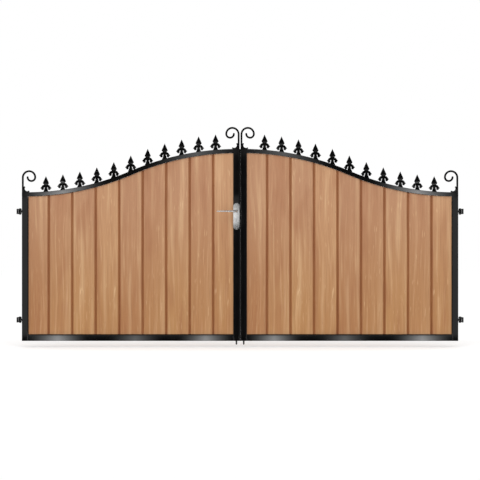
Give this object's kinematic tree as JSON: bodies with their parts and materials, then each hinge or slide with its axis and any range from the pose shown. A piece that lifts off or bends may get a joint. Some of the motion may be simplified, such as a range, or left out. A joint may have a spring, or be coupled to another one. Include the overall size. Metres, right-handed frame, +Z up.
{
  "type": "double driveway gate",
  "caption": "Pair of steel-framed driveway gate leaves with upright wooden boards, an ogee top rail with spear finials and scrolls, a lever lock, drop bolts and hinge brackets.",
  "frame": {"origin": "centre of the lower left hinge bracket's outer face, the face that is fixed to the post", "axes": "+X along the gate to the right, seen from the front; +Y from the front to the back, the way both leaves open; +Z up"},
  "size_m": [2.814, 0.1773, 1.373],
  "materials": {
    "black_coat": "satin black powder coat on steel box section, flat bar and castings",
    "cedar_boards": "planed cedar boards, oiled golden brown, with upright grain",
    "satin_steel": "satin stainless steel",
    "zinc_steel": "zinc plated steel, dull grey",
    "black_rubber": "matt black rubber"
  },
  "bodies": {
    "brackets": {"lower_left_bracket": "black_coat", "upper_left_bracket": "black_coat", "lower_right_bracket": "black_coat", "upper_right_bracket": "black_coat", "hinge_pins": "zinc_steel"},
    "left_leaf": {"left_hinge_stile": "black_coat", "left_meeting_stile": "black_coat", "left_bottom_rail": "black_coat", "left_top_rail": "black_coat", "left_end_caps": "black_coat", "left_board_panel": "cedar_boards", "left_board_ledge": "black_coat", "left_finials": "black_coat", "left_hinge_scroll": "black_coat", "left_meeting_scroll": "black_coat", "left_scroll_brackets": "black_coat", "left_lower_eye": "black_coat", "left_upper_eye": "black_coat", "left_bolt_guides": "black_coat", "closing_strip": "black_rubber", "front_lock_plate": "satin_steel", "rear_lock_plate": "satin_steel", "lock_cylinder": "satin_steel"},
    "right_leaf": {"right_hinge_stile": "black_coat", "right_meeting_stile": "black_coat", "right_bottom_rail": "black_coat", "right_top_rail": "black_coat", "right_end_caps": "black_coat", "right_board_panel": "cedar_boards", "right_board_ledge": "black_coat", "right_finials": "black_coat", "right_hinge_scroll": "black_coat", "right_meeting_scroll": "black_coat", "right_scroll_brackets": "black_coat", "right_lower_eye": "black_coat", "right_upper_eye": "black_coat", "right_bolt_guides": "black_coat"},
    "lever_set": {"front_lever": "satin_steel", "rear_lever": "satin_steel", "lever_spindle": "satin_steel"},
    "left_bolt": {"left_drop_bolt": "black_coat"},
    "right_bolt": {"right_drop_bolt": "black_coat"}
  },
  "joints": [
    {"name": "left_leaf_swing", "type": "hinge", "parent": "brackets", "child": "left_leaf", "pos_m": [0.018, 0, 0], "axis": [0, 0, 1], "range_deg": [0, 90]},
    {"name": "right_leaf_swing", "type": "hinge", "parent": "brackets", "child": "right_leaf", "pos_m": [2.796, 0, 0], "axis": [0, 0, -1], "range_deg": [0, 90]},
    {"name": "lever_turn", "type": "hinge", "parent": "left_leaf", "child": "lever_set", "pos_m": [1.384, -0.014, 0.684], "axis": [0, -1, 0], "range_deg": [0, 40], "stiffness_Nm_per_rad": 1.2, "springref_deg": -28.65},
    {"name": "left_bolt_lift", "type": "slide", "parent": "left_leaf", "child": "left_bolt", "axis": [0, 0, 1], "range_m": [0, 0.08]},
    {"name": "right_bolt_lift", "type": "slide", "parent": "right_leaf", "child": "right_bolt", "axis": [0, 0, 1], "range_m": [0, 0.08]}
  ]
}
